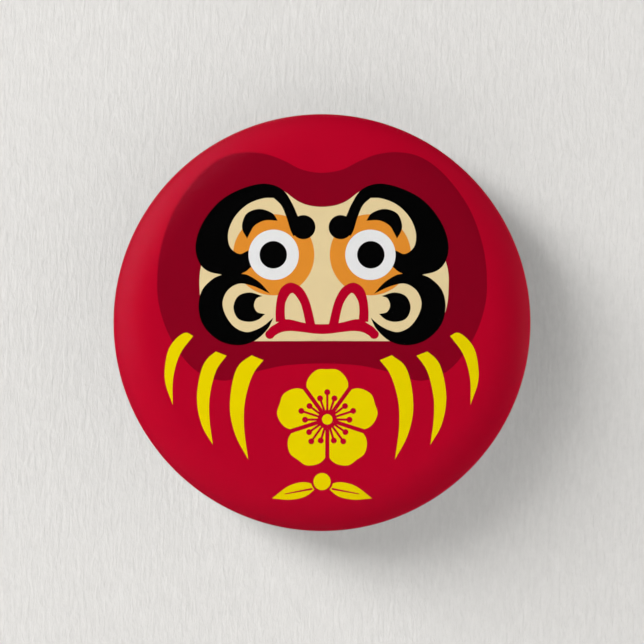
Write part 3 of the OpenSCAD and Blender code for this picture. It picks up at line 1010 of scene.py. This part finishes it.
class BADGE_OT_pin_needle(bpy.types.Operator):
    """Draw the needle: an eye that turns on the rivet, a straight wire and a long point"""
    bl_idname = "badge.pin_needle"
    bl_label = "Pin Needle"

    def execute(self, context):
        p = settings().pin
        wire, eye, bore = p.needle_r / MM, p.eye_r / MM, (p.rivet_r + p.running_gap) / MM
        half = (NEEDLE_HIGH.z - NEEDLE_LOW.z) / 2
        ring = [(bore, 0), (bore, half), (eye, half), (eye, -half), (bore, -half), (bore, 0)]
        knot = new_object("eye", turned(eased(ring, [0.06, 0.28, 0.28, 0.06], 5), None, 64))
        tip, taper = NEEDLE_HIGH.x - HINGE.x, NEEDLE_HIGH.x - HINGE.x - p.point_len / MM
        neck = [(0, bore + 0.12), (wire + 0.12, bore + 0.12), (wire + 0.12, eye + 0.05), (wire, eye + 0.65)]
        point = [(wire * (1 - k) ** 0.85 + 0.035 * k, taper + (tip - 0.04 - taper) * k)
                 for k in np.linspace(0, 1, 12)]
        rounding = [0.02, 0.1, 0.3] + [0.05] * (len(point) - 1) + [0.02, 0.02]
        shaft = eased(neck + point + [(0, tip)], rounding, 3)
        shaft = new_object("wire", turned(shaft, None, 40))
        shaft.data.transform(Matrix.Rotation(math.pi / 2, 4, "Y"))
        mesh = softened(joined(knot, [shaft]), 0.08, 3, 30)
        publish(mesh, "pin_needle", "needle", ["needle"], drawn_wire(),
                Matrix.Translation(HINGE))
        return {"FINISHED"}


class BADGE_OT_turn_lock(bpy.types.Operator):
    """Make the slotted barrel with its two flanges and the lever that turns it"""
    bl_idname = "badge.turn_lock"
    bl_label = "Turn Lock"

    def execute(self, context):
        p = settings().pin
        x0, x1, t = LOCK_LOW.x, LOCK_HIGH.x, p.flange_t / MM
        body, slot = (p.catch_bore_r - p.running_gap) / MM, p.slot_w / 2 / MM
        flange, half, reach = p.flange_r / MM, p.lever_w / 2 / MM, p.lever_len / MM

        def rod(radius, low, high):
            return prism(arc(0, 0, radius, 0, 354.375, 63), low, high, ALONG_BAR)

        lever = [(half, 0)] + arc(0, reach - half, half, 0, 180, 20) + [(-half, 0)]
        lever = prism(lever, x1 - t, x1, Matrix.Rotation(-p.lever_angle, 4, "X") @ ALONG_BAR)
        barrel = joined(rod(body, x0, x1), [rod(flange, x0, x0 + t), rod(flange, x1 - t, x1), lever])
        channel = [(slot, flange + 1)] + arc(0, 0, slot, 0, -180, 24) + [(-slot, flange + 1)]
        grip = turned([(0, x1 - 0.1), (0.3, x1 - 0.09), (0.45, x1 + 0.1), (0, x1 + 0.1)], None, 32)
        grip.transform(Matrix.Rotation(-p.lever_angle, 4, "X") @ Matrix.Translation((0, 0, reach - half))
                       @ Matrix.Rotation(math.pi / 2, 4, "Y"))
        cutters = [prism(channel, x0 - 1, x1 + 1, ALONG_BAR), new_object("grip", grip)]
        mesh = softened(joined(barrel, cutters, "DIFFERENCE"), p.edge / MM)
        publish(mesh, "turn_lock", "lock_barrel", ["lock_barrel"], plating(),
                ON_PLATE @ Matrix.Translation((0, 0, AXIS_Z)))
        return {"FINISHED"}


# ---------------------------------------------------------------- stage

def card_paper():
    """Pale paper with a fine, nearly upright fibrous grain; clear from behind, so the back can be seen."""
    finish, tree, surface, place = new_finish("laid card")
    tint = settings().stage.card
    laid = add(tree, "ShaderNodeMapping", {"Vector": place, "Rotation": (0, math.radians(-12), 0),
                                           "Scale": (1.0, 1.0, 0.22)}).outputs[0]
    fibre = noise_of(tree, laid, 3000.0, 4.0, 0.65, 0.4)
    tooth = noise_of(tree, place, 2600.0, 3.0)
    relief = calc(tree, "ADD", fibre, calc(tree, "MULTIPLY", tooth, 0.35))
    level = ramp(tree, relief, 0.35, 1.0, 0.93, 1.06, "LINEAR")
    grey = even_grey(tree, level)
    shade = blend_colour(tree, 1.0, (*tint, 1), grey, "MULTIPLY")
    bump = add(tree, "ShaderNodeBump", {"Strength": 0.6, "Distance": 0.00012, "Height": relief})
    body = add(tree, "ShaderNodeBsdfPrincipled", {"Base Color": shade, "Roughness": 0.9,
                                                  "Specular IOR Level": 0.1, "Normal": bump.outputs[0]})
    clear = add(tree, "ShaderNodeBsdfTransparent")
    behind = add(tree, "ShaderNodeNewGeometry").outputs["Backfacing"]
    mix = add(tree, "ShaderNodeMixShader", {0: behind, 1: body.outputs[0], 2: clear.outputs[0]})
    tree.links.new(mix.outputs[0], surface)
    return finish


def floor_paint():
    finish, tree, surface, place = new_finish("pale floor")
    cloud = noise_of(tree, place, 60.0, 3.0)
    level = ramp(tree, cloud, 0.3, 0.7, 0.79, 0.81)
    grey = even_grey(tree, level)
    body = add(tree, "ShaderNodeBsdfPrincipled", {"Base Color": grey, "Roughness": 0.85})
    tree.links.new(body.outputs[0], surface)
    return finish


def flat_sheet(name, corners, finish):
    mesh = bpy.data.meshes.new(name)
    mesh.from_pydata(corners, [], [range(len(corners))])
    mesh.materials.append(finish)
    sheet = new_object(name, mesh)
    return sheet


def room_light():
    """World light: a pale backdrop to the camera, a soft room to surfaces and a darker one to reflections."""
    s = settings().stage
    world = bpy.data.worlds.new("pale room")
    bpy.context.scene.world = world
    world.use_nodes = True
    tree = world.node_tree
    tree.nodes.clear()
    path = add(tree, "ShaderNodeLightPath").outputs
    heading = add(tree, "ShaderNodeTexCoord").outputs["Generated"]
    spot = add(tree, "ShaderNodeSeparateXYZ", {0: heading}).outputs

    def glow(direction, power, strength):
        """Light that is strongest in one direction and falls off round it."""
        toward = add(tree, "ShaderNodeVectorMath", {0: heading, 1: Vector(direction).normalized()},
                     operation="DOT_PRODUCT").outputs["Value"]
        fall = calc(tree, "POWER", calc(tree, "MAXIMUM", toward, 0.0), power)
        return calc(tree, "MULTIPLY", fall, strength)

    room = calc(tree, "ADD", glow((0, -1, 0), 1.0, s.front), 0.04)
    room = calc(tree, "ADD", room, glow((0.5, 0.5, -0.7), 2.0, s.bounce))
    room = calc(tree, "ADD", room, glow((0.9, 0.4, 0.1), 2.0, s.bounce * 0.72))
    rear = ramp(tree, spot[1], 0.5, 0.85, 0.0, 0.85)
    slant = calc(tree, "ABSOLUTE", calc(tree, "ADD", spot[2], calc(tree, "MULTIPLY", spot[0], 0.4)))
    mirror = calc(tree, "MULTIPLY", rear, ramp(tree, slant, 0.15, 0.6, 1.25, 0.5))
    mirror = calc(tree, "ADD", mirror, glow((-0.83, -0.22, 0.45), 4.0, 7.0))
    mirror = calc(tree, "ADD", mirror, glow((-0.2, 0.85, 0.48), 14.0, 4.0))
    lights = [add(tree, "ShaderNodeBackground", {"Color": tint, "Strength": strength}).outputs[0]
              for tint, strength in (((0.74, 0.735, 0.725, 1), 1.0), ((1.0, 0.998, 0.994, 1), room),
                                     ((1.0, 1.0, 1.0, 1), mirror))]
    first = add(tree, "ShaderNodeMixShader", {0: path["Is Glossy Ray"], 1: lights[1], 2: lights[2]})
    last = add(tree, "ShaderNodeMixShader", {0: path["Is Camera Ray"], 1: first.outputs[0], 2: lights[0]})
    tree.links.new(last.outputs[0], tree.nodes.new("ShaderNodeOutputWorld").inputs["Surface"])


def soft_light(name, off, up, size, power, tint=(1.0, 0.998, 0.993)):
    """An oval soft light that faces the badge from off its axis, at an angle above the left."""
    lamp = bpy.data.lights.new(name, "AREA")
    lamp.shape = "ELLIPSE"
    lamp.size, lamp.size_y = size
    lamp.energy = power
    lamp.color = tint
    obj = new_object(name, lamp)
    side = Vector((-math.cos(up), 0, math.sin(up)))
    away = Vector((0, -math.cos(off), 0)) + side * math.sin(off)
    long_way = (side - away * side.dot(away)).normalized()
    turn = Matrix((long_way, away.cross(long_way), away)).transposed().to_4x4()
    obj.matrix_world = Matrix.Translation(away * LAMP_AWAY) @ turn
    obj.visible_camera = False
    return obj


class BADGE_OT_stage(bpy.types.Operator):
    """Stand a paper card behind the badge, on a pale floor, and set the lights and the camera"""
    bl_idname = "badge.stage"
    bl_label = "Stage"

    def execute(self, context):
        s = settings().stage
        half = s.card_size / 2
        y = CAD_BOX[1][1] + s.card_gap
        corners = [(-half, y, -half), (half, y, -half), (half, y, half), (-half, y, half)]
        card = flat_sheet("paper_card", corners, card_paper())
        for ray in ("diffuse", "glossy", "transmission", "shadow"):
            setattr(card, "visible_" + ray, False)
        deep = 4 * half
        flat_sheet("pale_floor", [(-deep, -deep, -half), (deep, -deep, -half), (deep, deep, -half),
                                  (-deep, deep, -half)], floor_paint())
        room_light()
        for name, off, size, share in KEYS:
            lamp = soft_light(name, math.radians(off), s.key_up, size, s.key * share)
            lamp.visible_glossy = False
        soft_light("rear_light", math.radians(172), math.radians(60), (0.25, 0.25), 1.0, (1.0, 1.0, 1.0))
        view = bpy.data.cameras.new("front_view")
        view.sensor_width = 36.0
        view.lens = view.sensor_width * s.view_dist / s.view_w
        view.clip_start = 0.01
        view.clip_end = 10.0
        camera = new_object("front_view", view)
        camera.location = (0, -settings().shape.roll_r - s.view_dist, s.view_up)
        camera.rotation_euler = (math.pi / 2, 0, 0)
        context.scene.camera = camera
        context.scene.view_settings.view_transform = "Standard"
        return {"FINISHED"}


class BADGE_PT_panel(bpy.types.Panel):
    """Sizes, colours and steps of the badge"""
    bl_idname = "BADGE_PT_panel"
    bl_label = "Pin-back Badge"
    bl_space_type = "VIEW_3D"
    bl_region_type = "UI"
    bl_category = "Badge"

    def draw(self, context):
        for step in STEPS:
            self.layout.operator(step.bl_idname)
        for name in ("shape", "ink", "pin", "stage"):
            group = getattr(context.scene.badge, name)
            box = self.layout.box()
            box.label(text=name.capitalize())
            for key in group.__annotations__:
                box.prop(group, key)


class BadgeSettings(bpy.types.PropertyGroup):
    """All settings of the badge."""
    shape: PointerProperty(type=BadgeShape)
    ink: PointerProperty(type=BadgePrint)
    pin: PointerProperty(type=BadgePin)
    stage: PointerProperty(type=BadgeStage)


STEPS = (BADGE_OT_printed_disc, BADGE_OT_film_skin, BADGE_OT_front_shell, BADGE_OT_pressed_back,
         BADGE_OT_pin_base, BADGE_OT_hinge_pin, BADGE_OT_pin_needle, BADGE_OT_turn_lock, BADGE_OT_stage)
CLASSES = (BadgeShape, BadgePrint, BadgePin, BadgeStage, BadgeSettings) + STEPS + (BADGE_PT_panel,)


def register():
    for cls in CLASSES:
        bpy.utils.register_class(cls)
    bpy.types.Scene.badge = PointerProperty(type=BadgeSettings)


def unregister():
    del bpy.types.Scene.badge
    for cls in reversed(CLASSES):
        bpy.utils.unregister_class(cls)


def main():
    register()
    for step in STEPS:
        family, action = step.bl_idname.split(".")
        getattr(getattr(bpy.ops, family), action)()


if __name__ == "__main__":
    main()
